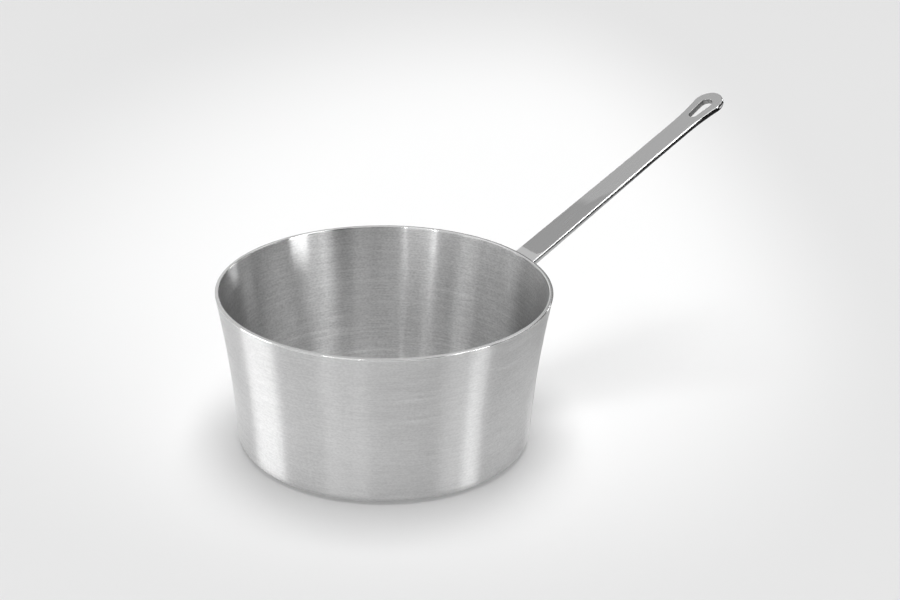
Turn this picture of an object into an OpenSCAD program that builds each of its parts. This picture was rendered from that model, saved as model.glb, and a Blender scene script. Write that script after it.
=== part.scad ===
// Flared saucepan in three-ply clad sheet, with a welded strip handle.
// Millimetres, +Z up. The origin is the centre of the base's underside, and the handle points along +X.

/* [Pan body] */
// Outer diameter at the rim
rim_d = 200; // [160:1:260]
// Height from the underside of the base to the rim
pan_h = 97.5; // [75:0.5:130]
// Outer radius of the corner between base and wall
corner_r = 6.5; // [4:0.5:14]
// Lean of the wall from the vertical, just above the corner, in degrees
wall_low_angle = 3; // [1:0.5:6]
// Lean of the wall from the vertical at the rim, in degrees
wall_rim_angle = 10.8; // [8:0.1:14]

/* [Clad sheet] */
// Thickness of the outer stainless skin
skin_t = 0.5; // [0.3:0.05:0.8]
// Thickness of the aluminium core
core_t = 1.4; // [0.8:0.1:2]
// Thickness of the inner stainless liner
liner_t = 0.5; // [0.3:0.05:0.8]

/* [Handle] */
// Length of the handle along its top face, from the mounting plate to the tip
handle_len = 179.5; // [155:0.5:230]
// Rise of the handle above the horizontal, in degrees
handle_rise = 27; // [15:0.5:35]
// Drop from the rim to where the handle's top face meets the mounting plate
handle_drop = 6; // [5.5:0.1:8]
// Thickness of the strip
strip_t = 4; // [3:0.1:5]
// Width of the strip at the root
root_w = 19.2; // [17:0.1:22]
// Width of the strip at the neck, before the head
neck_w = 15.7; // [13:0.1:17]
// Length of the tapered stretch, from the root to where the sides run parallel
taper_len = 108; // [60:1:118]
// Radius of the rounded head
head_r = 10.4; // [9.5:0.1:12.5]
// Radius of the hollow flanks that widen the neck into the head
flank_r = 120; // [60:1:150]

/* [Hanging hole] */
// Radius of the hole's wide end, towards the tip
hole_wide_r = 4.5; // [3.5:0.1:5.5]
// Radius of the hole's narrow end, towards the pan
hole_narrow_r = 3.4; // [2.5:0.1:4.5]
// Distance between the centres of the hole's two ends
hole_pitch = 10.8; // [8:0.1:14]
// Distance from the head's centre back to the centre of the hole's wide end
hole_setback = 1.4; // [0:0.1:2.5]

/* [Mounting plate] */
// Thickness of the plate
plate_t = 2; // [1.5:0.1:2.5]
// Width of the plate
plate_w = 30; // [28:0.5:36]
// Width of the plate's upper edge above the weld
plate_margin = 0.6; // [0.3:0.1:1.5]
// Radius of the plate's corners
plate_corner_r = 6; // [3:0.5:8]

/* [Welds] */
// Diameter of a spot weld
spot_d = 5; // [4:0.1:6]
// Depth of the dimple that a spot weld leaves in the plate
spot_dimple = 0.3; // [0.1:0.05:0.6]
// Gap between the fillet weld and the upper row of spot welds
spot_gap = 1.5; // [0.8:0.1:3]
// Distance between the two rows of spot welds
spot_pitch = 8; // [7:0.1:10]
// Distance from a spot weld's centre to the plate's side and lower edges
spot_edge = 6.5; // [5:0.1:7]
// Leg length of the fillet weld round the handle's root
fillet_leg = 2.4; // [1.5:0.1:2.6]

/* [Hidden] */
$fn = 96;
// Finer facets for the turned surfaces and the long flank arcs
fine_fn = 720;

// Facets of the outline along the corner arc and along the wall arc
corner_steps = 8;
wall_steps = 14;
// Overrun of a cut past the face that it opens
cut = 1;
// Depth that the flank arcs cut past a bare touch of the neck and the head, so that the outlines cross
flank_bite = 0.005;
// Thickness of the thin slab that ends the fillet weld on the strip
weld_toe = 0.05;

sheet_t = skin_t + core_t + liner_t;
rim_r = rim_d / 2;

// The wall's outer line is an arc that curves outward: its centre lies outside the pan
corner_top = corner_r * (1 - sin(wall_low_angle));
wall_arc_r = (pan_h - corner_top) / (sin(wall_rim_angle) - sin(wall_low_angle));
arc_x = rim_r + wall_arc_r * cos(wall_rim_angle);
arc_z = pan_h - wall_arc_r * sin(wall_rim_angle);
// Radius of the flat part of the base
base_r = arc_x - (wall_arc_r + corner_r) * cos(wall_low_angle);

// Outer radius and lean of the wall at height z, on a surface that lies depth inside the outer face
function wall_r(z, depth) = arc_x - sqrt(pow(wall_arc_r + depth, 2) - pow(z - arc_z, 2));
function wall_lean(z, depth) = asin((z - arc_z) / (wall_arc_r + depth));

// Points from the base's centre to the rim, on a surface that lies depth inside the outer face
function corner_points(depth) = [
    for (i = [0 : corner_steps])
        let (a = -90 + i * (90 - wall_low_angle) / corner_steps)
        [base_r + (corner_r - depth) * cos(a), corner_r + (corner_r - depth) * sin(a)]
];
function wall_points(depth) = [
    let (top = wall_lean(pan_h, depth))
    for (i = [1 : wall_steps])
        let (a = wall_low_angle + i * (top - wall_low_angle) / wall_steps)
        [arc_x - (wall_arc_r + depth) * cos(a), arc_z + (wall_arc_r + depth) * sin(a)]
];
function side_points(depth) = concat([[0, depth]], corner_points(depth), wall_points(depth));
function reversed(list) = [for (i = [len(list) - 1 : -1 : 0]) list[i]];

// Where the handle's top face meets the mounting plate, and the lean of the plate there
root_z = pan_h - handle_drop;
root_x = wall_r(root_z, -plate_t);
root_lean = wall_lean(root_z, -plate_t);
// Height of the strip's section where the plate's face cuts it, measured up the plate
root_tilt = handle_rise + root_lean;
section_h = strip_t / cos(root_tilt);

// The plate reaches a margin above the weld, and holds two rows of spot welds below it
plate_top = root_z + fillet_leg * cos(root_lean) + plate_margin;
weld_low = root_z - (section_h + fillet_leg) * cos(root_lean);
spot_high = weld_low - spot_gap - spot_d / 2;
spot_low = spot_high - spot_pitch;
plate_low = spot_low - spot_edge;
plate_h = plate_top - plate_low;

// Places along the handle, measured on its top face from the root
head_s = handle_len - head_r;
wide_s = head_s - hole_setback;
narrow_s = wide_s - hole_pitch;
// The flank arc touches the straight neck and the head's circle
flank_y = neck_w / 2 + flank_r;
flank_s = head_s - sqrt(pow(flank_r + head_r, 2) - pow(flank_y, 2));
// Corner of the uncut outline: it lies on the line between the two centres, inside the flank's circle
uncut_share = 2 * head_r / (head_r + flank_r);
uncut_s = head_s - (head_s - flank_s) * uncut_share;
uncut_y = flank_y * uncut_share;

// Layer of the pan between two depths below its outer face
module pan_layer(depth_a, depth_b) {
    rotate_extrude($fn = fine_fn)
        polygon(concat(side_points(depth_a), reversed(side_points(depth_b))));
}

// Everything inside the mounting plate's outer face, as a solid of revolution
module plate_envelope() {
    rotate_extrude($fn = fine_fn)
        polygon(concat(side_points(-plate_t), [[0, pan_h]]));
}

// Band of the given thickness that wraps the wall
module wall_band(band_t) {
    rotate_extrude($fn = fine_fn)
        polygon(concat(wall_points(-band_t), reversed(wall_points(0))));
}

// Carries its children to the handle's root: X along the strip, Z out of the top face
module at_root() {
    translate([root_x, 0, root_z])
        rotate([0, -handle_rise, 0])
            children();
}

// Outline of the strip seen from above, from behind the root to the tip
module strip_outline() {
    root_back = strip_t + plate_t;
    difference() {
        polygon([
            [-root_back, -root_w / 2], [0, -root_w / 2], [taper_len, -neck_w / 2],
            [flank_s, -neck_w / 2], [uncut_s, -uncut_y], [head_s, 0], [uncut_s, uncut_y],
            [flank_s, neck_w / 2], [taper_len, neck_w / 2], [0, root_w / 2], [-root_back, root_w / 2]
        ]);
        for (side = [-1, 1])
            translate([flank_s, side * flank_y])
                circle(flank_r + flank_bite, $fn = fine_fn);
    }
    translate([head_s, 0])
        circle(head_r);
}

// Teardrop made of two circles and the lines that touch both
module hole_outline() {
    // Angle between each tangent line and the handle's centre line
    flare = asin((hole_wide_r - hole_narrow_r) / hole_pitch);
    wide_x = wide_s - hole_wide_r * sin(flare);
    wide_y = hole_wide_r * cos(flare);
    narrow_x = narrow_s - hole_narrow_r * sin(flare);
    narrow_y = hole_narrow_r * cos(flare);
    translate([wide_s, 0])
        circle(hole_wide_r);
    translate([narrow_s, 0])
        circle(hole_narrow_r);
    polygon([[narrow_x, -narrow_y], [wide_x, -wide_y], [wide_x, wide_y], [narrow_x, narrow_y]]);
}

// The strip before its root is cut to the mounting plate
module strip() {
    at_root()
        translate([0, 0, -strip_t])
            linear_extrude(strip_t)
                difference() {
                    strip_outline();
                    hole_outline();
                }
}

// Outline of the mounting plate: X is the width and Y the height above the base
module plate_outline() {
    inner_w = plate_w - 2 * plate_corner_r;
    inner_h = plate_h - 2 * plate_corner_r;
    translate([0, plate_low + plate_h / 2]) {
        square([plate_w, inner_h], center = true);
        square([inner_w, plate_h], center = true);
        for (x = [-1, 1], y = [-1, 1])
            translate([x * inner_w / 2, y * inner_h / 2])
                circle(plate_corner_r);
    }
}

// The four spot welds' circles, in the plate outline's plane
module spot_outlines() {
    for (x = [-1, 1], z = [spot_low, spot_high])
        translate([x * (plate_w / 2 - spot_edge), z])
            circle(d = spot_d);
}

// Extrudes an outline drawn in the plate's plane along +X, through the wall on the handle's side
module through_wall() {
    rotate([90, 0, 90])
        linear_extrude(rim_r + plate_t + cut)
            children();
}

module outer_skin() {
    color("silver")
        pan_layer(0, skin_t);
}

module aluminium_core() {
    color("lightgray")
        pan_layer(skin_t, skin_t + core_t);
}

module inner_liner() {
    color("gainsboro")
        pan_layer(skin_t + core_t, sheet_t);
}

module handle_bar() {
    color("darkgray")
        difference() {
            strip();
            plate_envelope();
        }
}

module mounting_plate() {
    color("silver")
        difference() {
            intersection() {
                wall_band(plate_t);
                through_wall()
                    plate_outline();
            }
            through_wall()
                spot_outlines();
        }
}

module spot_welds() {
    color("dimgray")
        intersection() {
            wall_band(plate_t - spot_dimple);
            through_wall()
                spot_outlines();
        }
}

// Fillet round the root: it runs from the plate, one leg wider than the strip, to the strip's own faces
module handle_weld() {
    // How far the strip climbs along the plate over one leg
    climb = fillet_leg * tan(root_tilt);
    color("gray")
        difference() {
            translate([root_x, 0, root_z])
                rotate([0, root_lean, 0])
                    hull() {
                        translate([-plate_t, -root_w / 2 - fillet_leg, -section_h - fillet_leg])
                            cube([plate_t, root_w + 2 * fillet_leg, section_h + 2 * fillet_leg]);
                        translate([fillet_leg, -root_w / 2, climb - section_h])
                            cube([weld_toe, root_w, section_h]);
                    }
            strip();
            plate_envelope();
        }
}

outer_skin();
aluminium_core();
inner_liner();
handle_bar();
mounting_plate();
spot_welds();
handle_weld();
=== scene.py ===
"""A flared three-ply saucepan with a welded strip handle, on a white studio table.

Metres, +Z up. The origin is the centre of the base's underside, and the handle points along +X.
"""

import math

import bmesh
import bpy
from mathutils import Matrix, Vector
from mathutils.geometry import delaunay_2d_cdt


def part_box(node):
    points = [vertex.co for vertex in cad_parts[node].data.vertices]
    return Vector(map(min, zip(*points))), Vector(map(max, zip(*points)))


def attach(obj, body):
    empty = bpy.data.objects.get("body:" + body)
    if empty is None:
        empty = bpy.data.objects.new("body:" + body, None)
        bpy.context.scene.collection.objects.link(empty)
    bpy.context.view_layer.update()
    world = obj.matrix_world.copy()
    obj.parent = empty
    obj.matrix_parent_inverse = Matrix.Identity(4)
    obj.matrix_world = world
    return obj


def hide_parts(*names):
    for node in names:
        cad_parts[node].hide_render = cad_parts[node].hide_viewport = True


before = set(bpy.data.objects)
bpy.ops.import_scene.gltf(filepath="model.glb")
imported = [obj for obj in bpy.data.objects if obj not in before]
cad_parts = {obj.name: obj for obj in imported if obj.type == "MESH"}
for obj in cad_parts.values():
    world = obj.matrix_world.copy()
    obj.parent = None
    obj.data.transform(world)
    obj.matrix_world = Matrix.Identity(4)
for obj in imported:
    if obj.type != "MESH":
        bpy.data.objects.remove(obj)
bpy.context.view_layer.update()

MM = 0.001

# Pan body
skin_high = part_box("outer_skin")[1]
PAN_H = skin_high.z
RIM_R = skin_high.x
CORNER_R = 6.5 * MM
LOW_LEAN = math.radians(3)
RIM_LEAN = math.radians(10.8)
SKIN_T = 0.5 * MM
CORE_T = 1.4 * MM
LINER_T = 0.5 * MM
SHEET_T = SKIN_T + CORE_T + LINER_T
# Rounding of the rim's two edges
LIP_OUTER_R = 0.6 * MM
LIP_INNER_R = 0.7 * MM
# Steps of the turned pieces: round the axis, and along the base, the corner, the wall and the lip
LATHE_TURNS = 384
BASE_STEPS = 16
CORNER_STEPS = 12
WALL_STEPS = 48
LIP_STEPS = 10

# Handle
HANDLE_LEN = 179.5 * MM
HANDLE_RISE = math.radians(27)
HANDLE_DROP = 6 * MM
STRIP_T = 4 * MM
ROOT_W = 19.2 * MM
NECK_W = 15.7 * MM
TAPER_LEN = 108 * MM
HEAD_R = 10.4 * MM
FLANK_R = 120 * MM
# Depth that the strip's root reaches into the mounting plate
ROOT_EMBED = 0.7 * MM
# Length over which the strip's root slants to the plate
ROOT_SLANT = 10 * MM
# The strip's sides bulge on this radius, and its edges are rounded on the smaller one
SIDE_R = 6 * MM
SIDE_STEPS = 10
ARRIS_R = 0.8 * MM
ARRIS_STEPS = 8
HOLE_ARRIS_R = 0.5 * MM

# Hanging hole
HOLE_WIDE_R = 4.5 * MM
HOLE_NARROW_R = 3.4 * MM
HOLE_PITCH = 10.8 * MM
HOLE_SETBACK = 1.4 * MM

# Mounting plate and welds
PLATE_T = 2 * MM
PLATE_W = 30 * MM
PLATE_MARGIN = 0.6 * MM
PLATE_CORNER_R = 6 * MM
PLATE_ARRIS_R = 0.5 * MM
# Steps of a small rounded edge, on the plate and in the hanging hole
SMALL_ARRIS_STEPS = 6
# Steps of each corner and each side of the plate
PLATE_STEPS = 12
# Distance between the points inside the plate's faces, so that they follow the wall's curve
PLATE_GRID = 1.5 * MM
SPOT_R = 2.5 * MM
# Depth of a weld's pit, and height of the low ridge in it where the electrode pressed
SPOT_DIMPLE = 0.3 * MM
SPOT_RIDGE = 0.06 * MM
SPOT_RINGS = 8
SPOT_TURNS = 40
SPOT_GAP = 1.5 * MM
SPOT_PITCH = 8 * MM
SPOT_EDGE = 6.5 * MM
FILLET_LEG = 2.4 * MM
RIPPLE_PITCH = 1.1 * MM
RIPPLE_H = 0.07 * MM
# The bead turns the strip's corners on this radius. Along the sides its rows lie about this far
# apart
BEAD_CORNER_R = 1.0 * MM
BEAD_CORNER_STEPS = 10
BEAD_STEP = 0.25 * MM
BEAD_LEAST_STEPS = 4
# Steps across the bead
BEAD_STEPS = 8
# How far the bead's hollow face stands out from the root, as a share of its legs, and how far the
# bead reaches behind the root, as a share of that
BEAD_HOLLOW = 0.3
BEAD_BURIED = 0.2

# The wall's outer line is an arc that curves outward: its centre lies outside the pan
CORNER_TOP = CORNER_R * (1 - math.sin(LOW_LEAN))
WALL_ARC_R = (PAN_H - CORNER_TOP) / (math.sin(RIM_LEAN) - math.sin(LOW_LEAN))
ARC_X = RIM_R + WALL_ARC_R * math.cos(RIM_LEAN)
ARC_Z = PAN_H - WALL_ARC_R * math.sin(RIM_LEAN)
BASE_R = ARC_X - (WALL_ARC_R + CORNER_R) * math.cos(LOW_LEAN)


def wall_r(z, depth):
    """Radius of the wall at height z, on a surface that lies depth inside the outer face."""
    return ARC_X - math.sqrt((WALL_ARC_R + depth) ** 2 - (z - ARC_Z) ** 2)


def wall_lean(z, depth):
    """Lean of that surface from the vertical, at height z."""
    return math.asin((z - ARC_Z) / (WALL_ARC_R + depth))


ROOT_Z = PAN_H - HANDLE_DROP
ROOT_X = wall_r(ROOT_Z, -PLATE_T)
ROOT_LEAN = wall_lean(ROOT_Z, -PLATE_T)
ROOT_TILT = HANDLE_RISE + ROOT_LEAN
SECTION_H = STRIP_T / math.cos(ROOT_TILT)
PLATE_TOP = ROOT_Z + FILLET_LEG * math.cos(ROOT_LEAN) + PLATE_MARGIN
WELD_LOW = ROOT_Z - (SECTION_H + FILLET_LEG) * math.cos(ROOT_LEAN)
SPOT_HIGH = WELD_LOW - SPOT_GAP - SPOT_R
SPOT_LOW = SPOT_HIGH - SPOT_PITCH
PLATE_LOW = SPOT_LOW - SPOT_EDGE
SPOT_U = PLATE_W / 2 - SPOT_EDGE
SPOTS = [(u, v) for u in (-SPOT_U, SPOT_U) for v in (SPOT_LOW, SPOT_HIGH)]

# Places along the handle, measured on its top face from the root
HEAD_S = HANDLE_LEN - HEAD_R
WIDE_S = HEAD_S - HOLE_SETBACK
NARROW_S = WIDE_S - HOLE_PITCH
FLANK_Y = NECK_W / 2 + FLANK_R
FLANK_S = HEAD_S - math.sqrt((FLANK_R + HEAD_R) ** 2 - FLANK_Y**2)

# Directions of the handle's frame: along the strip, across it, and out of its top face
ALONG = Vector((math.cos(HANDLE_RISE), 0, math.sin(HANDLE_RISE)))
ACROSS = Vector((0, 1, 0))
OUT = Vector((-math.sin(HANDLE_RISE), 0, math.cos(HANDLE_RISE)))
ROOT = Vector((ROOT_X, 0, ROOT_Z))


# Mesh building

# Edges between faces that turn by more than this are sharp
SHARP_ANGLE = math.radians(35)
# The points inside a slab's face keep this share of their distance from its edges
GRID_MARGIN = 0.4


def add_mesh(name, points, faces, material, normals=None):
    """Smooth mesh object. Its normals are the given ones, or follow the faces up to sharp edges."""
    mesh = bpy.data.meshes.new(name)
    mesh.from_pydata([tuple(p) for p in points], [], faces)
    mesh.validate()
    bm = bmesh.new()
    bm.from_mesh(mesh)
    for face in bm.faces:
        face.smooth = True
    if normals is None:
        bmesh.ops.recalc_face_normals(bm, faces=bm.faces)
        for edge in bm.edges:
            if len(edge.link_faces) == 2 and edge.calc_face_angle() > SHARP_ANGLE:
                edge.smooth = False
    bm.to_mesh(mesh)
    bm.free()
    if normals is not None:
        mesh.normals_split_custom_set_from_vertices([tuple(n) for n in normals])
    mesh.materials.append(material)
    piece = bpy.data.objects.new(name, mesh)
    bpy.context.scene.collection.objects.link(piece)
    return piece


def band(a, b):
    """Faces between two closed rings of point numbers. A ring that repeats one number is a pole."""
    faces = []
    for i in range(len(a)):
        j = (i + 1) % len(a)
        corners = [a[i], a[j], b[j], b[i]]
        faces.append([c for k, c in enumerate(corners) if c != corners[k - 1]])
    return faces


def lathe(name, outline, material):
    """Turned piece from a closed outline of (radius, height) points. One on the axis is a pole."""
    points, rows = [], []
    for radius, z in outline:
        if radius == 0:
            rows.append([len(points)] * LATHE_TURNS)
            points.append((0, 0, z))
            continue
        rows.append(list(range(len(points), len(points) + LATHE_TURNS)))
        for i in range(LATHE_TURNS):
            a = 2 * math.pi * i / LATHE_TURNS
            points.append((radius * math.cos(a), radius * math.sin(a), z))
    faces = []
    for a, b in zip(rows, rows[1:] + rows[:1]):
        both_poles = a[0] == a[1] and b[0] == b[1]
        if not both_poles:
            faces += band(a, b)
    return add_mesh(name, points, faces, material)


def inside(point, loop):
    """Is the point inside the closed loop?"""
    x, y = point
    found = False
    for (ax, ay), (bx, by) in zip(loop, loop[1:] + loop[:1]):
        if (ay > y) != (by > y) and x < ax + (bx - ax) * (y - ay) / (by - ay):
            found = not found
    return found


def offset_loop(loop, distance):
    """The loop's points moved inward, against the outward direction kept with each."""
    return [(u - nu * distance, v - nv * distance) for u, v, nu, nv in loop]


def slab(name, loops, section, place, material, grid=None):
    """Plate with rounded edges.

    loops holds the outer loop and any hole loops, as (u, v, outward u, outward v) points, where
    outward leaves the metal. section(k) gives the side's rings for loop k, from the top face to
    the bottom face, as (inset, height, outward share, upward share). place(u, v, w) gives a point
    of the part. grid is the distance between the points that the two faces get inside their loops.
    """
    points, normals, faces = [], [], []

    def put(u, v, w, nu, nv, nw):
        """Add a point, with the normal that has these shares of the slab's own three directions."""
        step = 0.01 * MM
        here = place(u, v, w)
        du = (place(u + step, v, w) - here).normalized()
        dv = (place(u, v + step, w) - here).normalized()
        dw = du.cross(dv).normalized()
        points.append(here)
        normals.append((du * nu + dv * nv + dw * nw).normalized())
        return len(points) - 1

    caps = {1: [], -1: []}
    for k, loop in enumerate(loops):
        rings = []
        for inset, w, outward, upward in section(k):
            ring = []
            for (u, v), (_, _, nu, nv) in zip(offset_loop(loop, inset), loop):
                ring.append(put(u, v, w, nu * outward, nv * outward, upward))
            rings.append(ring)
        for a, b in zip(rings, rings[1:]):
            for i in range(len(loop)):
                j = (i + 1) % len(loop)
                # A hole's wall faces the other way
                faces.append([a[i], b[i], b[j], a[j]] if k == 0 else [a[j], b[j], b[i], a[i]])
        caps[1].append((rings[0], offset_loop(loop, section(k)[0][0])))
        caps[-1].append((rings[-1], offset_loop(loop, section(k)[-1][0])))

    for side, rings in caps.items():
        flat = [p for _, loop in rings for p in loop]
        index = [i for ring, _ in rings for i in ring]
        edges, start = [], 0
        for _, loop in rings:
            edges += [(start + i, start + (i + 1) % len(loop)) for i in range(len(loop))]
            start += len(loop)
        w = section(0)[0 if side == 1 else -1][1]
        if grid:
            margin = grid * GRID_MARGIN
            outer = offset_loop(loops[0], section(0)[0][0] + margin)
            holes = [offset_loop(loop, section(1)[0][0] + margin) for loop in loops[1:]]
            us, vs = [u for u, _ in outer], [v for _, v in outer]
            low_u, low_v = min(us), min(vs)
            for i in range(int((max(us) - low_u) / grid) + 1):
                for j in range(int((max(vs) - low_v) / grid) + 1):
                    p = (low_u + (i + 0.5) * grid, low_v + (j + 0.5) * grid)
                    if inside(p, outer) and not any(inside(p, hole) for hole in holes):
                        flat.append(p)
                        index.append(put(*p, w, 0, 0, side))
        # Output type 1 leaves out what lies outside the edges. Points this close count as one
        inner, closest = 1, 1e-9
        found = delaunay_2d_cdt([Vector(p) for p in flat], edges, [], inner, closest)
        out, triangles, origin = found[0], found[2], found[3]
        (_, rim), holes = rings[0], rings[1:]
        for triangle in triangles:
            middle = sum((out[i] for i in triangle), Vector((0, 0))) / 3
            if inside(middle, rim) and not any(inside(middle, hole) for _, hole in holes):
                corners = [index[origin[i][0]] for i in triangle]
                faces.append(corners if side == 1 else corners[::-1])
    return add_mesh(name, points, faces, material, normals)


# Outlines


def corner_points(depth):
    """Corner arc between base and wall, from the base."""
    turn = math.pi / 2 - LOW_LEAN
    angles = [-math.pi / 2 + turn * i / CORNER_STEPS for i in range(CORNER_STEPS + 1)]
    radius = CORNER_R - depth
    return [(BASE_R + radius * math.cos(a), CORNER_R + radius * math.sin(a)) for a in angles]


def lip_z(depth):
    """Height of the rim at a depth below the outer face: cut square to the wall, and rounded."""
    from_inner = SHEET_T - depth
    top = PAN_H - from_inner * math.tan(RIM_LEAN)
    for radius, from_edge in ((LIP_OUTER_R, depth), (LIP_INNER_R, from_inner)):
        if from_edge < radius:
            return top - radius + math.sqrt(max(radius**2 - (radius - from_edge) ** 2, 0))
    return top


def side_points(depth):
    """Outline from the axis along the base and up the wall to the lip."""
    base = [(BASE_R * i / BASE_STEPS, depth) for i in range(BASE_STEPS)]
    low = CORNER_TOP + depth * math.sin(LOW_LEAN)
    high = lip_z(depth)
    wall = [low + (high - low) * i / WALL_STEPS for i in range(1, WALL_STEPS + 1)]
    return base + corner_points(depth) + [(wall_r(z, depth), z) for z in wall]


def lip_points(depth_a, depth_b):
    """Points of the rim's edge between two depths, without its ends and closer near them."""
    shares = [(1 - math.cos(math.pi * i / LIP_STEPS)) / 2 for i in range(1, LIP_STEPS)]
    depths = [depth_a + (depth_b - depth_a) * share for share in shares]
    return [(wall_r(lip_z(d), d), lip_z(d)) for d in depths]


def ply_outline(depth_a, depth_b):
    """Closed outline of the sheet between two depths, half of its cross-section."""
    return side_points(depth_a) + lip_points(depth_a, depth_b) + side_points(depth_b)[::-1]


def arc(cx, cy, radius, start, end, steps, sign=1):
    """Points of an arc with the direction that leaves the metal: away from the centre, or to it."""
    points = []
    for i in range(steps + 1):
        a = start + (end - start) * i / steps
        c, s = math.cos(a), math.sin(a)
        points.append((cx + radius * c, cy + radius * s, sign * c, sign * s))
    return points


def line(ax, ay, bx, by, steps):
    """Points of a straight side, without its end, with the direction to its right."""
    length = math.hypot(bx - ax, by - ay)
    nu, nv = (by - ay) / length, -(bx - ax) / length
    shares = [i / steps for i in range(steps)]
    return [(ax + (bx - ax) * t, ay + (by - ay) * t, nu, nv) for t in shares]


def mirrored(loop):
    """The loop on the other side of v = 0, in the order that keeps it counterclockwise."""
    return [(u, -v, nu, -nv) for u, v, nu, nv in reversed(loop)]


def rounded_rectangle(half_w, low, high, radius, corner_steps, side_steps):
    """Closed outline, counterclockwise. side_steps gives the steps of a side from its length."""
    u, low, high = half_w - radius, low + radius, high - radius
    arcs = []
    for cu, cv, start in [(u, low, -90), (u, high, 0), (-u, high, 90), (-u, low, 180)]:
        a = math.radians(start)
        arcs.append(arc(cu, cv, radius, a, a + math.pi / 2, corner_steps))
    loop = []
    for a, b in zip(arcs, arcs[1:] + arcs[:1]):
        (au, av), (bu, bv) = a[-1][:2], b[0][:2]
        loop += a + line(au, av, bu, bv, side_steps(math.hypot(bu - au, bv - av)))[1:]
    return loop


def strip_loop():
    """The strip's outline, counterclockwise from the root's right corner."""
    half_root, half_neck = ROOT_W / 2, NECK_W / 2
    touch = math.atan2(FLANK_Y, FLANK_S - HEAD_S)
    right = line(-ROOT_EMBED, -half_root, TAPER_LEN, -half_neck, steps=24)
    right += line(TAPER_LEN, -half_neck, FLANK_S, -half_neck, steps=8)
    flank_end = math.pi - touch
    right += arc(FLANK_S, -FLANK_Y, FLANK_R, math.pi / 2, flank_end, steps=20, sign=-1)[:-1]
    head = arc(HEAD_S, 0, HEAD_R, -touch, touch, steps=72)
    root = line(-ROOT_EMBED, half_root, -ROOT_EMBED, -half_root, steps=10)[1:]
    return right + head + mirrored(right) + root


def hole_loop():
    """The teardrop hole, counterclockwise. Its metal lies outside, so outward is to its middle."""
    flare = math.asin((HOLE_WIDE_R - HOLE_NARROW_R) / HOLE_PITCH)
    quarter = math.pi / 2 + flare
    wide = arc(WIDE_S, 0, HOLE_WIDE_R, -quarter, quarter, steps=40)
    narrow = arc(NARROW_S, 0, HOLE_NARROW_R, quarter, 2 * math.pi - quarter, steps=28)
    top = line(*wide[-1][:2], *narrow[0][:2], steps=6)[1:]
    low = line(*narrow[-1][:2], *wide[0][:2], steps=6)[1:]
    return [(u, v, -nu, -nv) for u, v, nu, nv in wide + top + narrow + low]


def plate_loop():
    """The mounting plate's outline: u is the width and v the height above the base."""
    steps = PLATE_STEPS
    return rounded_rectangle(
        PLATE_W / 2, PLATE_LOW, PLATE_TOP, PLATE_CORNER_R, steps, lambda length: steps
    )


def spot_loop(u, v):
    """Edge of the plate's hole for a spot weld, counterclockwise. Outward is to its middle."""
    ring = arc(u, v, SPOT_R, 0, 2 * math.pi, SPOT_TURNS)[:-1]
    return [(pu, pv, -nu, -nv) for pu, pv, nu, nv in ring]


def edge_rings(radius, lean, inset, top, steps):
    """Rings of a rounded edge, from the face at height top to a side that leans by an angle."""
    rings = []
    for i in range(steps + 1):
        a = math.pi / 2 + (lean - math.pi / 2) * i / steps
        c, s = math.cos(a), math.sin(a)
        rings.append((inset + radius * (1 - c), top - radius * (1 - s), c, s))
    return rings


def strip_section(k):
    """Rings of the strip's bulging side, or of the hole's straight one, with rounded edges."""
    if k > 0:
        upper = edge_rings(HOLE_ARRIS_R, 0, 0, 0, SMALL_ARRIS_STEPS)
        side = []
    else:
        # The edge's arc touches the top face and the side's arc
        half = STRIP_T / 2
        reach = math.asin((half - ARRIS_R) / (SIDE_R - ARRIS_R))
        inset = SIDE_R - (SIDE_R - ARRIS_R) * math.cos(reach) - ARRIS_R
        upper = edge_rings(ARRIS_R, reach, inset, 0, ARRIS_STEPS)
        side = []
        for i in range(1, SIDE_STEPS):
            a = reach * (1 - 2 * i / SIDE_STEPS)
            c, s = math.cos(a), math.sin(a)
            side.append((SIDE_R * (1 - c), SIDE_R * s - half, c, s))
    lower = [(inset, -STRIP_T - w, out, -up) for inset, w, out, up in reversed(upper)]
    return upper + side + lower


def plate_section(k):
    """Rings of the plate's edge, or of a hole round a spot weld: rounded above and square below."""
    radius = PLATE_ARRIS_R if k == 0 else SPOT_DIMPLE
    return edge_rings(radius, 0, 0, PLATE_T, SMALL_ARRIS_STEPS) + [(0, 0, 1, 0)]


def on_handle(u, v, w):
    """Point of the handle: u along its top face from the root, v across, w out of the top face."""
    slant = max(0, min(1, 1 - (u + ROOT_EMBED) / ROOT_SLANT))
    return ROOT + ALONG * (u + w * math.tan(ROOT_TILT) * slant) + ACROSS * v + OUT * w


def on_wall(u, v, w):
    """Point beside the wall on the handle's side: u across, v up, w out from the outer face."""
    return Vector((math.sqrt(wall_r(v, -w) ** 2 - u * u), u, v))


# Materials


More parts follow.
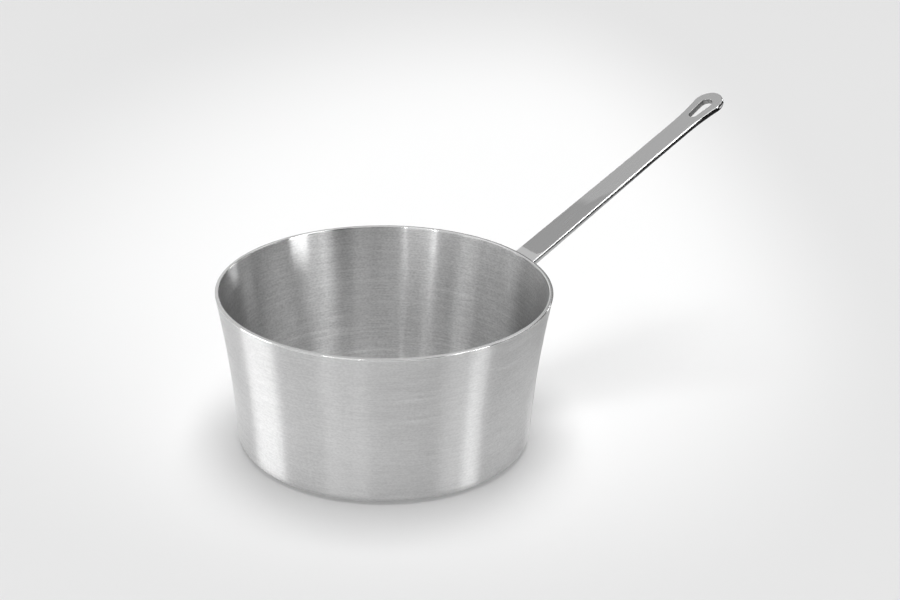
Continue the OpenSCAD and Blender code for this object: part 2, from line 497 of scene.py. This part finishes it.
class Shader:
    """Nodes of a material or a world, with short calls for the ones that are used here."""

    def __init__(self, owner):
        owner.use_nodes = True
        self.owner = owner
        self.tree = owner.node_tree
        self.tree.nodes.clear()

    def node(self, kind, inputs=None, **settings):
        """New node. An input is either a socket to link or a constant."""
        made = self.tree.nodes.new(kind)
        for key, value in settings.items():
            setattr(made, key, value)
        for key, value in (inputs or {}).items():
            if isinstance(value, bpy.types.NodeSocket):
                self.tree.links.new(value, made.inputs[key])
            else:
                made.inputs[key].default_value = value
        return made

    def math(self, operation, *values):
        return self.node("ShaderNodeMath", dict(enumerate(values)), operation=operation).outputs[0]

    def total(self, *terms):
        result = terms[0]
        for term in terms[1:]:
            result = self.math("ADD", result, term)
        return result

    def product(self, *factors):
        result = factors[0]
        for factor in factors[1:]:
            result = self.math("MULTIPLY", result, factor)
        return result

    def minus(self, a, b):
        return self.math("SUBTRACT", a, b)

    def over(self, a, b):
        return self.math("DIVIDE", a, b)

    def hypot(self, x, y):
        return self.math("SQRT", self.total(self.product(x, x), self.product(y, y)))

    def place(self):
        """The shaded point, in the object's own frame."""
        return self.node("ShaderNodeTexCoord").outputs["Object"]

    def axes(self):
        return self.node("ShaderNodeSeparateXYZ", {0: self.place()}).outputs

    def vector(self, x, y, z):
        return self.node("ShaderNodeCombineXYZ", {0: x, 1: y, 2: z}).outputs[0]

    def dot(self, a, b):
        made = self.node("ShaderNodeVectorMath", {0: a, 1: b}, operation="DOT_PRODUCT")
        return made.outputs["Value"]

    def noise(self, vector, scale=1.0, detail=2.0):
        inputs = {"Vector": vector, "Scale": scale, "Detail": detail, "Roughness": 0.5}
        return self.node("ShaderNodeTexNoise", inputs).outputs["Fac"]

    def spread(self, value, low, high, to_low, to_high, **settings):
        """Value moved from one range to another, and held at its ends."""
        inputs = {
            "Value": value,
            "From Min": low,
            "From Max": high,
            "To Min": to_low,
            "To Max": to_high,
        }
        return self.node("ShaderNodeMapRange", inputs, **settings).outputs["Result"]

    def vary(self, noise, low, high, reach=0.2):
        """Noise, which is mostly within this reach of 0.5, spread from low to high."""
        return self.spread(noise, 0.5 - reach, 0.5 + reach, low, high)

    def mix_value(self, factor, a, b):
        return self.node("ShaderNodeMix", {0: factor, 2: a, 3: b}).outputs[0]

    def mix_colour(self, factor, a, b):
        return self.node("ShaderNodeMix", {0: factor, 6: a, 7: b}, data_type="RGBA").outputs[2]

    def grey(self, value):
        return self.node("ShaderNodeCombineColor", {0: value, 1: value, 2: value}).outputs[0]

    def bump(self, depth, height):
        inputs = {"Strength": 1.0, "Distance": depth, "Height": height}
        return self.node("ShaderNodeBump", inputs).outputs[0]

    def metal(self, inputs):
        """Finish a metal, with these inputs of its shader."""
        return self.finish(self.node("ShaderNodeBsdfPrincipled", {"Metallic": 1.0, **inputs}))

    def finish(self, surface, kind="ShaderNodeOutputMaterial"):
        self.node(kind, {"Surface": surface.outputs[0]})
        return self.owner


# Anisotropic rotation that turns the stretch across the brush lines
ACROSS_BRUSH = 0.25

# Lines brushed in rings: their pitch, the length over which they fade in and out, and the detail of
# their noise
SPECKLE = (1.0 * MM, 1.6 * MM, 2)
FINE_RINGS = (0.9 * MM, 14 * MM, 0)
COARSE_RINGS = (1.7 * MM, 50 * MM, 1)
BROAD_RINGS = (2.6 * MM, 90 * MM, 0)
ARC_RINGS = (1.8 * MM, 60 * MM, 0)
# The fine rings change the grey by this share of what the speckle does
FINE_SHARE = 0.4
# A light arc comes up between these values of its noise. Between these heights, the arcs fade to
# their least share
ARC_NOISE = (0.6, 0.8)
ARC_HEIGHTS = (20 * MM, 75 * MM)
ARC_LEAST = 0.25
# Size of the soft clouds on the steel, and how much they change its grey
CLOUD_SIZE = 30 * MM
CLOUD_GREY = 0.012
# The rim's polished edge: how far under the rim it starts and is full, its grey and its roughness
LIP_BELOW = (1.5 * MM, 1.0 * MM)
LIP_GREY = 0.86
LIP_ROUGHNESS = (0.14, 0.18)

# The core's cut edge: the pitch of its lines, the steps in which they fade per metre, and their
# finish
LATHE_PITCH = 0.12 * MM
LATHE_FADE = 30
LATHE_GREY = (0.66, 0.74)
LATHE_ROUGHNESS = (0.2, 0.3)
LATHE_DEPTH = 0.003 * MM

# Brush lines along the handle: their length, the pitch and detail of the fine and the coarse ones,
# the shares of the two, and their finish
BRUSH_LEN = 30 * MM
FINE_BRUSH = (0.8 * MM, 3)
COARSE_BRUSH = (2.4 * MM, 2)
BRUSH_SHARES = (0.6, 0.4)
BRUSH_GREY = 0.012
BRUSH_ROUGHNESS = (0.22, 0.28)
BRUSH_DEPTH = 0.004 * MM
# Size along and across of the noise by which the ends of the passes wander
WANDER_SIZE = (6 * MM, 4 * MM)
# The patch at the root, rougher from blending, whose lighter grey is a painted reflection of the
# pan's wall: its length, where its end starts to sweep along the right edge, and how strongly
ROOT_PATCH_END = 9.3 * MM
ROOT_PATCH_TURN = 6 * MM
ROOT_PATCH_SWEEP = 450
ROOT_PATCH_WANDER = 0.3 * MM
ROOT_PATCH_FADE = (-0.4 * MM, 0.6 * MM)
# Painted reflection of the pan's wall: the root patch's lighter grey
ROOT_REFLECTION_GREY = 0.74
BLEND_ROUGHNESS = 0.32
# The belt's first pass, a real finish zone whose darker grey is painted shade: where it ends on the
# left, and how its end slants to the right
PASS_END = 59 * MM
PASS_TURN = -0.8 * MM
PASS_SLANT = 2.6
PASS_WANDER = 1.2 * MM
PASS_FADE = (-3 * MM, 3.5 * MM)
# Painted shade: the first pass's darker grey
PASS_SHADED_GREY = 0.46
# Grey of the rest of the top face
STRIP_GREY = 0.58
# The polished sides: the heights under the top face between which they start, and their finish
SIDE_FADE = (-0.35 * MM, -0.12 * MM)
SIDE_GREY = 0.66
SIDE_ROUGHNESS = (0.09, 0.16)
SIDE_DEPTH = 0.001 * MM
# The hole's wall: where it starts and ends, the heights between which its painted shade turns from
# light below to dark above, and how much its lines change its grey
HOLE_FADE = (-0.55 * MM, -0.4 * MM)
HOLE_END = 0.01 * MM - STRIP_T
HOLE_SHADE_TURN = (-1.1 * MM, -0.6 * MM)
HOLE_SHADE_GREYS = (0.42, 0.1)
HOLE_LINES = 0.05
HOLE_ROUGHNESS = 0.4

# Plain steel: the size of its clouds, and how much its grey and its roughness change
PLAIN_CLOUD = 6 * MM
PLAIN_GREY = 0.04
PLAIN_ROUGHNESS = 0.05


def turned_steel(name, grey, roughness, streak, grain, arcs, relief):
    """Steel with fine brush lines that run round the pan's axis, and a polished lip.

    Its grey changes by grain from line to line, and rises by arcs in the long light arcs, which are
    strongest low on the wall. Its roughness changes by streak, and its surface by relief.
    """
    s = Shader(bpy.data.materials.new(name))
    x, y, z = s.axes()
    across = s.total(z, s.hypot(x, y))

    def rings(pitch, length, detail):
        """Lines of one pitch that fade in and out along arcs of one length."""
        scaled = s.vector(s.over(across, pitch), s.over(x, length), s.over(y, length))
        return s.noise(scaled, detail=detail)

    fine = rings(*FINE_RINGS)
    low = s.spread(z, *ARC_HEIGHTS, 1, ARC_LEAST)
    cloud = s.noise(s.place(), scale=1 / CLOUD_SIZE)
    shade = s.total(
        s.vary(rings(*SPECKLE), -grain, grain),
        s.vary(fine, -grain * FINE_SHARE, grain * FINE_SHARE),
        s.vary(cloud, -CLOUD_GREY, CLOUD_GREY),
        s.product(s.spread(rings(*ARC_RINGS), *ARC_NOISE, 0, 1), low, arcs),
        grey,
    )
    rough = s.vary(rings(*COARSE_RINGS), roughness - streak, roughness + streak, reach=0.25)
    lip = s.spread(z, *[PAN_H - below for below in LIP_BELOW], 0, 1)
    tangent = s.node("ShaderNodeTangent", direction_type="RADIAL", axis="Z")
    return s.metal({
        "Base Color": s.grey(s.mix_value(lip, shade, LIP_GREY)),
        "Roughness": s.mix_value(lip, rough, s.vary(fine, *LIP_ROUGHNESS)),
        "Anisotropic": 1.0,
        "Anisotropic Rotation": ACROSS_BRUSH,
        "Tangent": tangent.outputs[0],
        "Normal": s.bump(relief, rings(*BROAD_RINGS)),
    })


def aluminium():
    """The core's cut edge: duller than the steel, with lines from the lathe."""
    s = Shader(bpy.data.materials.new("aluminium_edge"))
    x, y, z = s.axes()
    ring = s.over(s.total(s.hypot(x, y), z), LATHE_PITCH)
    lines = s.noise(s.vector(ring, s.product(x, LATHE_FADE), s.product(y, LATHE_FADE)))
    return s.metal({
        "Base Color": s.grey(s.vary(lines, *LATHE_GREY)),
        "Roughness": s.vary(lines, *LATHE_ROUGHNESS),
        "Normal": s.bump(LATHE_DEPTH, lines),
    })


def strip_steel():
    """The handle: brushed lengthwise, rougher from blending at the root, with polished sides and a
    raw
    hole. Its grey holds painted light: a reflection of the pan's wall at the root, and shade on the
    belt's first pass and in the hole's wall.
    """
    s = Shader(bpy.data.materials.new("handle_steel"))
    x, y, z = s.axes()
    rise, run = math.sin(HANDLE_RISE), math.cos(HANDLE_RISE)
    from_x, from_z = s.minus(x, ROOT_X), s.minus(z, ROOT_Z)
    along = s.total(s.product(from_x, run), s.product(from_z, rise))
    out = s.minus(s.product(from_z, run), s.product(from_x, rise))

    def lines(pitch, detail):
        """Lines of one pitch that run along the strip."""
        scaled = s.vector(s.over(along, BRUSH_LEN), s.over(y, pitch), s.over(out, pitch))
        return s.noise(scaled, detail=detail)

    fine, coarse = lines(*FINE_BRUSH), lines(*COARSE_BRUSH)
    brushed = s.total(s.product(fine, BRUSH_SHARES[0]), s.product(coarse, BRUSH_SHARES[1]))
    wander_along, wander_across = WANDER_SIZE
    wander = s.noise(s.vector(s.over(along, wander_along), s.over(y, wander_across), 0.0))
    wander = s.vary(wander, -1, 1)

    # The root patch, rougher from blending and painted lighter as a reflection of the pan's wall,
    # ends in a curve that sweeps along the strip's right edge
    to_right = s.math("MAXIMUM", s.minus(s.product(y, -1), ROOT_PATCH_TURN), 0)
    root_patch_end = s.total(s.product(to_right, to_right, ROOT_PATCH_SWEEP), ROOT_PATCH_END)
    past_root_patch = s.total(s.minus(along, root_patch_end), s.product(wander, ROOT_PATCH_WANDER))
    blend_and_reflection = s.spread(past_root_patch, *ROOT_PATCH_FADE, 1, 0)
    # The first pass of the belt ends farther out on the right edge than on the left
    to_right = s.math("MAXIMUM", s.minus(PASS_TURN, y), 0)
    pass_end = s.total(s.product(to_right, PASS_SLANT), PASS_END)
    past_pass = s.total(s.minus(along, pass_end), s.product(wander, PASS_WANDER))
    second = s.spread(past_pass, *PASS_FADE, 0, 1)
    # Painted light on the top face: a reflection of the pan's wall at the root, shade on the first
    # pass
    grey = s.mix_value(blend_and_reflection, s.mix_value(second, PASS_SHADED_GREY, STRIP_GREY), ROOT_REFLECTION_GREY)
    grey = s.total(grey, s.vary(brushed, -BRUSH_GREY, BRUSH_GREY))
    rough = s.mix_value(blend_and_reflection, s.vary(coarse, *BRUSH_ROUGHNESS), BLEND_ROUGHNESS)

    # The sides are polished
    side = s.spread(out, *SIDE_FADE, 1, 0)
    grey = s.mix_value(side, grey, SIDE_GREY)
    rough = s.mix_value(side, rough, s.vary(fine, *SIDE_ROUGHNESS))

    # Inside a box round the hole and above the bottom face, its wall keeps the punch's dull finish.
    # Its grey is painted shade: dark above, lighter below
    wall = s.product(
        s.math("LESS_THAN", s.math("ABSOLUTE", y), HOLE_WIDE_R + HOLE_ARRIS_R),
        s.math("GREATER_THAN", along, NARROW_S - HOLE_NARROW_R - HOLE_ARRIS_R),
        s.math("LESS_THAN", along, WIDE_S + HOLE_WIDE_R + HOLE_ARRIS_R),
        s.spread(out, *HOLE_FADE, 1, 0),
        s.math("GREATER_THAN", out, HOLE_END),
    )
    hole_shaded_grey = s.spread(out, *HOLE_SHADE_TURN, *HOLE_SHADE_GREYS)
    hole_shaded_grey = s.total(hole_shaded_grey, s.vary(fine, -HOLE_LINES, HOLE_LINES, reach=0.15))
    grey = s.mix_value(wall, grey, hole_shaded_grey)
    rough = s.mix_value(wall, rough, HOLE_ROUGHNESS)

    return s.metal({
        "Base Color": s.grey(grey),
        "Roughness": rough,
        "Anisotropic": 0.9,
        "Anisotropic Rotation": ACROSS_BRUSH,
        "Tangent": s.vector(run, 0.0, rise),
        "Normal": s.bump(s.mix_value(side, BRUSH_DEPTH, SIDE_DEPTH), brushed),
    })


def plain_steel(name, grey, roughness, grain, relief):
    """Steel with a directionless finish, of one grain size and relief."""
    s = Shader(bpy.data.materials.new(name))
    fine = s.noise(s.place(), scale=1 / grain, detail=3)
    cloud = s.noise(s.place(), scale=1 / PLAIN_CLOUD)
    return s.metal({
        "Base Color": s.grey(s.total(s.vary(cloud, -PLAIN_GREY, PLAIN_GREY), grey)),
        "Roughness": s.vary(fine, roughness - PLAIN_ROUGHNESS, roughness + PLAIN_ROUGHNESS),
        "Normal": s.bump(relief, fine),
    })


# Pieces


def handle_weld(material):
    """Fillet bead round the handle's root, with the ripples that the welder's dabs leave."""
    half_w, half_h = ROOT_W / 2, SECTION_H / 2

    def side_steps(length):
        return max(BEAD_LEAST_STEPS, round(length / BEAD_STEP))

    def on_plate(u, h):
        """Point of the plate's face: u across, and h up along it from the root's middle."""
        return on_wall(u, ROOT_Z + (h - half_h) * math.cos(ROOT_LEAN), PLATE_T)

    loop = rounded_rectangle(half_w, -half_h, half_h, BEAD_CORNER_R, BEAD_CORNER_STEPS, side_steps)
    points, rows, travelled = [], [], 0
    for k, (u, h, nu, nh) in enumerate(loop):
        if k:
            travelled += math.hypot(u - loop[k - 1][0], h - loop[k - 1][1])
        ripple = RIPPLE_H * math.sin(2 * math.pi * travelled / RIPPLE_PITCH)
        foot = on_plate(u, h)
        toe = on_plate(u + nu * FILLET_LEG, h + nh * FILLET_LEG)
        climb = foot + ALONG * FILLET_LEG
        # Where the strip leans over the plate, the bead fills the acute corner
        hollow = foot + (toe - foot) * BEAD_HOLLOW + (climb - foot) * BEAD_HOLLOW
        bulge = ((toe - foot) + (climb - foot)).normalized() * ripple
        rows.append(list(range(len(points), len(points) + BEAD_STEPS + 2)))
        for j in range(BEAD_STEPS + 1):
            t = j / BEAD_STEPS
            p = toe * (1 - t) ** 2 + hollow * 2 * t * (1 - t) + climb * t**2
            points.append(p + bulge * math.sin(math.pi * t))
        points.append(foot + (foot - hollow) * BEAD_BURIED)
    faces = [face for a, b in zip(rows, rows[1:] + rows[:1]) for face in band(a, b)]
    return add_mesh("weld_bead", points, faces, material)


def spot_welds(material):
    """Four shallow dished discs where the plate is welded to the wall."""
    points, faces = [], []
    floor = PLATE_T - SPOT_DIMPLE
    shares = [i / SPOT_RINGS for i in range(1, SPOT_RINGS + 1)]
    dish = [(share, floor + SPOT_RIDGE * math.cos(2 * math.pi * share) * share) for share in shares]
    for u, v in SPOTS:
        rows = [[len(points)] * SPOT_TURNS]
        points.append(on_wall(u, v, floor))
        for share, w in dish + [(1, 0)]:
            rows.append(list(range(len(points), len(points) + SPOT_TURNS)))
            for j in range(SPOT_TURNS):
                a = 2 * math.pi * j / SPOT_TURNS
                radius = SPOT_R * share
                points.append(on_wall(u + radius * math.cos(a), v + radius * math.sin(a), w))
        for a, b in zip(rows, rows[1:]):
            faces += band(a, b)
        faces.append(rows[-1][::-1])
    return add_mesh("spot_weld_pits", points, faces, material)


def build_pan():
    outer_steel = turned_steel(
        "brushed_steel_outside",
        grey=0.73,
        roughness=0.335,
        streak=0.04,
        grain=0.055,
        arcs=0,
        relief=0.003 * MM,
    )
    inner_steel = turned_steel(
        "brushed_steel_inside",
        grey=0.74,
        roughness=0.274,
        streak=0,
        grain=0.1,
        arcs=0.14,
        relief=0.001 * MM,
    )
    skin = lathe("outer_shell", ply_outline(0, SKIN_T), outer_steel)
    core = lathe("core_layer", ply_outline(SKIN_T, SKIN_T + CORE_T), aluminium())
    liner = lathe("inner_shell", ply_outline(SKIN_T + CORE_T, SHEET_T), inner_steel)
    strip_loops = [strip_loop(), hole_loop()]
    strip = slab("handle_strip", strip_loops, strip_section, on_handle, strip_steel())
    plate_loops = [plate_loop()] + [spot_loop(u, v) for u, v in SPOTS]
    plate_steel = plain_steel(
        "plate_steel", grey=0.56, roughness=0.34, grain=0.3 * MM, relief=0.002 * MM
    )
    plate = slab("wall_plate", plate_loops, plate_section, on_wall, plate_steel, grid=PLATE_GRID)
    weld_steel = plain_steel(
        "weld_steel", grey=0.5, roughness=0.36, grain=0.5 * MM, relief=0.006 * MM
    )
    weld = handle_weld(weld_steel)
    spot_steel = plain_steel(
        "spot_steel", grey=0.46, roughness=0.4, grain=0.4 * MM, relief=0.004 * MM
    )
    pits = spot_welds(spot_steel)
    stands_for = [
        (skin, "outer_skin"),
        (core, "aluminium_core"),
        (liner, "inner_liner"),
        (strip, "handle_bar"),
        (plate, "mounting_plate"),
        (weld, "handle_weld"),
        (pits, "spot_welds"),
    ]
    for piece, node in stands_for:
        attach(piece, "root")
        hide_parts(node)


# Studio

# The photograph's camera: angles in degrees, and its azimuth from the handle's axis
CAMERA_TARGET = Vector((31.4, -22.8, 89.4)) * MM
CAMERA_DISTANCE = 1068.5 * MM
CAMERA_AZIMUTH = 234
CAMERA_ELEVATION = 23.8
CAMERA_ROLL = 1.05
CAMERA_LENS = 72
SENSOR_W = 36
CAMERA_REACH = 50

# Unit vectors on the floor, from the pan to the camera and to the camera's right
facing = math.radians(CAMERA_AZIMUTH)
TO_CAMERA = Vector((math.cos(facing), math.sin(facing), 0))
TO_RIGHT = Vector((-TO_CAMERA.y, TO_CAMERA.x, 0))
UP = Vector((0, 0, 1))

# Upright panels that the steel mirrors: name, azimuth in degrees, distance from the pan, width,
# heights of the lower and the upper edge in metres, and glow
PANELS = [
    ("left_panel", -86, 1.2, 0.6, 0, 0.098, 15.5),
    ("right_panel", 66, 3, 0.68, 0.05, 0.55, 8.5),
    ("right_mid_panel", 59, 1.2, 0.52, 0.38, 0.85, 1.8),
    ("right_high_panel", 63, 3, 0.65, 2.0, 3.8, 3),
    ("right_tall_panel", 47, 1.2, 0.24, 0.38, 0.85, 1.7),
    ("right_back_panel", 135, 1.5, 0.26, 0.185, 0.3, 10),
    ("right_fill", 105, 1.5, 1.0, 0.6, 1.5, 1.0),
    ("left_fill", -86, 1.5, 0.9, 0.5, 1.3, 0.6),
    ("front_right_panel", 20, 1.2, 0.3, 0.38, 1.0, 0.35),
    ("front_panel", -24, 1.2, 0.4, 0.3, 1.2, 0.5),
    ("front_strip", -35, 1.2, 0.018, 0.2, 1.2, 10.5),
    ("front_thin_strip", -13, 1.2, 0.016, 0.2, 1.2, 7),
]

# Brightness of the mirrored room up its axis, and how far that axis leans to the left
WORLD_STOPS = [(0.0, 0.05), (0.12, 0.2), (0.35, 0.88), (0.7, 0.64), (1.0, 0.75)]
WORLD_LEAN = 0.7
# Even brightness of the room on the table and on dull surfaces
ROOM_LIGHT = 0.15

TABLE_R = 6
# The table lies just under the pan's base, so that the two faces do not coincide
TABLE_GAP = 0.1 * MM
# Painted pool of light on the table, to the right and towards the camera: its middle, and how far
# it reaches ahead and behind. Up to this share of its reach it is full
LIGHT_POOL_RIGHT = (0.098, 0.27, 0.52)
LIGHT_POOL_NEAR = (-0.28, 0.50, 0.871)
LIGHT_POOL_FULL = 0.34
# Painted pool of light: the table's white in its middle, and the grey it fades to away from it
LIGHT_POOL_WHITE = 0.98
FAR_WHITE = 0.785
# Share of the table's look that is plain white and not lit, for the camera and in mirrored views
FLOOR_GLOW_SEEN = 0.2
FLOOR_GLOW_MIRRORED = 0.3
# The mirrored table's brightness at the pan's axis, how much it falls for each metre to the right,
# and its least
MIRRORED_WHITE = 1.0
MIRRORED_LEAN = 0.9
MIRRORED_LEAST = 0.6
# Distances between which the mirrored table darkens, all round and to the right, and the share of
# its brightness that is left there
MIRRORED_EDGE = (0.4, 0.8)
MIRRORED_EDGE_SHARE = 0.05
MIRRORED_RIGHT_EDGE = (0.36, 0.42)
MIRRORED_RIGHT_SHARE = 0.04
# The mirrored table is darker in the sector behind and to the right of the pan: the azimuth at
# which it starts, how far it fades there and to the right, and by which share it is darker
DIM_AZIMUTH = 115
DIM_FADE = (-0.02, 0.08)
DIM_RIGHT_FADE = (0, 0.1)
DIM_SHARE = 0.45
# Painted reflection: a white patch on the table behind and to the right, which only the steel sees
# and the handle's head mirrors: its left, right, near and far edges, each as the two distances
# between which it fades
MIRRORED_PATCH_LEFT = (0.68, 0.71)
MIRRORED_PATCH_RIGHT = (1.35, 1.4)
MIRRORED_PATCH_NEAR = (-0.12, -0.09)
MIRRORED_PATCH_FAR = (-0.02, 0.04)
MIRRORED_PATCH_FAR_AZIMUTH = 38


def floor_direction(azimuth):
    """Unit vector along the floor, at an azimuth in degrees from the camera's side to its right."""
    a = math.radians(azimuth)
    return TO_CAMERA * math.cos(a) + TO_RIGHT * math.sin(a)


def add_camera():
    elevation, roll = math.radians(CAMERA_ELEVATION), math.radians(CAMERA_ROLL)
    back = TO_CAMERA * math.cos(elevation) + UP * math.sin(elevation)
    level_up = back.cross(TO_RIGHT)
    right = TO_RIGHT * math.cos(roll) + level_up * math.sin(roll)
    up = back.cross(right)
    data = bpy.data.cameras.new("camera")
    data.sensor_width = SENSOR_W
    data.lens = CAMERA_LENS
    data.clip_end = CAMERA_REACH
    camera = bpy.data.objects.new("camera", data)
    turn = Matrix((right, up, back)).transposed().to_4x4()
    camera.matrix_world = Matrix.Translation(CAMERA_TARGET + back * CAMERA_DISTANCE) @ turn
    bpy.context.scene.collection.objects.link(camera)
    bpy.context.scene.camera = camera


def add_lamp(name, place, away, width, height, glow):
    """Rectangular lamp that shines against its away direction. A glow of 1 is white."""
    data = bpy.data.lights.new(name, "AREA")
    data.shape = "RECTANGLE"
    data.size, data.size_y = width, height
    data.energy = glow * math.pi * width * height
    lamp = bpy.data.objects.new(name, data)
    turn = away.to_track_quat("Z", "Y").to_matrix().to_4x4()
    lamp.matrix_world = Matrix.Translation(place) @ turn
    lamp.visible_camera = False
    bpy.context.scene.collection.objects.link(lamp)
    return lamp


def add_panel(name, azimuth, distance, width, low, high, glow):
    """Upright glowing panel that faces the pan. The steel mirrors it, and it lights nothing dull, so
    the pan casts no second shadow."""
    away = floor_direction(azimuth)
    middle = away * distance + UP * (low + high) / 2
    add_lamp(name, middle, away, width, high - low, glow).visible_diffuse = False


def add_softbox(name, azimuth, elevation, distance, width, height, glow):
    """Soft lamp above the table, turned to the pan. The steel does not mirror it."""
    e = math.radians(elevation)
    away = floor_direction(azimuth) * math.cos(e) + UP * math.sin(e)
    add_lamp(name, away * distance, away, width, height, glow).visible_glossy = False


def add_world():
    """Pale for the camera and even on dull surfaces. The steel mirrors a room that is bright above
    and to the left, and dark below and to the right."""
    world = bpy.data.worlds.new("studio")
    bpy.context.scene.world = world
    s = Shader(world)

    def opaque(grey):
        return (grey, grey, grey, 1)

    way = s.node("ShaderNodeTexCoord").outputs["Generated"]
    height = s.dot(way, (UP - TO_RIGHT * WORLD_LEAN).normalized())
    ramp = s.node("ShaderNodeValToRGB", {0: height})
    stops = ramp.color_ramp.elements
    # A new ramp has two stops
    for i, (place, grey) in enumerate(WORLD_STOPS):
        stop = stops[i] if i < 2 else stops.new(place)
        stop.position = place
        stop.color = opaque(grey)
    ray = s.node("ShaderNodeLightPath").outputs
    plain = s.mix_colour(ray["Is Camera Ray"], opaque(ROOM_LIGHT), opaque(FAR_WHITE))
    tone = s.mix_colour(ray["Is Glossy Ray"], plain, ramp.outputs[0])
    s.finish(s.node("ShaderNodeBackground", {0: tone}), "ShaderNodeOutputWorld")


def table_white():
    """White with a painted pool of light that greys away from its middle, and with its own look in
    the steel, where light and shade are painted too.
    """
    s = Shader(bpy.data.materials.new("table_white"))
    place = s.place()

    def past(azimuth):
        """Distance from the pan's axis in the direction of an azimuth from the camera's side."""
        return s.dot(place, floor_direction(azimuth))

    def reach(along, middle, forward, backward):
        """Square of the distance from the middle, as a share of the reach on that side."""
        offset = s.minus(along, middle)
        ahead = s.over(s.math("MAXIMUM", offset, 0), forward)
        behind = s.over(s.math("MINIMUM", offset, 0), backward)
        return s.total(s.product(ahead, ahead), s.product(behind, behind))

    right, near = past(90), past(0)
    distance = s.math("SQRT", s.total(reach(right, *LIGHT_POOL_RIGHT), reach(near, *LIGHT_POOL_NEAR)))
    smooth = {"interpolation_type": "SMOOTHSTEP"}
    # Painted pool of light: the white greys away from its middle
    white = s.spread(distance, LIGHT_POOL_FULL, 1.0, LIGHT_POOL_WHITE, FAR_WHITE, **smooth)

    leaning = s.minus(MIRRORED_WHITE, s.product(right, MIRRORED_LEAN))
    leaning = s.math("MAXIMUM", s.math("MINIMUM", leaning, 1.0), MIRRORED_LEAST)
    far = s.node("ShaderNodeVectorMath", {0: place}, operation="LENGTH").outputs["Value"]
    dim = s.product(
        s.spread(past(DIM_AZIMUTH + 90), *DIM_FADE, 0, 1),
        s.spread(right, *DIM_RIGHT_FADE, 0, 1),
    )
    mirrored_table = s.product(
        white,
        leaning,
        s.spread(far, *MIRRORED_EDGE, 1.0, MIRRORED_EDGE_SHARE),
        s.spread(right, *MIRRORED_RIGHT_EDGE, 1.0, MIRRORED_RIGHT_SHARE),
        s.spread(dim, 0, 1, 1, 1 - DIM_SHARE),
    )
    # Painted reflection: a white patch that only mirrored rays see
    mirrored_patch = s.product(
        s.spread(right, *MIRRORED_PATCH_LEFT, 0, 1),
        s.spread(right, *MIRRORED_PATCH_RIGHT, 1, 0),
        s.spread(near, *MIRRORED_PATCH_NEAR, 1, 0),
        s.spread(past(MIRRORED_PATCH_FAR_AZIMUTH), *MIRRORED_PATCH_FAR, 0, 1),
    )

    ray = s.node("ShaderNodeLightPath").outputs
    tone = s.mix_value(ray["Is Glossy Ray"], white, s.math("MAXIMUM", mirrored_table, mirrored_patch))
    diffuse = s.node("ShaderNodeBsdfDiffuse", {"Color": s.grey(tone)})
    glow = s.node("ShaderNodeEmission", {"Color": s.grey(tone)})
    glow_share = s.math(
        "MAXIMUM",
        s.product(ray["Is Camera Ray"], FLOOR_GLOW_SEEN),
        s.product(ray["Is Glossy Ray"], FLOOR_GLOW_MIRRORED),
    )
    mix = s.node("ShaderNodeMixShader", {0: glow_share, 1: diffuse.outputs[0], 2: glow.outputs[0]})
    return s.finish(mix)


def add_floor():
    """Round white table, which keeps the pan's soft shadow."""
    bm = bmesh.new()
    bmesh.ops.create_circle(bm, cap_ends=True, segments=96, radius=TABLE_R)
    mesh = bpy.data.meshes.new("table")
    bm.to_mesh(mesh)
    bm.free()
    mesh.materials.append(table_white())
    floor = bpy.data.objects.new("table", mesh)
    floor.location.z = -TABLE_GAP
    bpy.context.scene.collection.objects.link(floor)


def add_studio():
    add_camera()
    add_world()
    add_floor()
    for panel in PANELS:
        add_panel(*panel)
    add_softbox(
        "key_softbox", azimuth=180, elevation=88, distance=6, width=3, height=4.6, glow=8.15
    )


build_pan()
add_studio()
bpy.context.scene.view_settings.view_transform = "Standard"
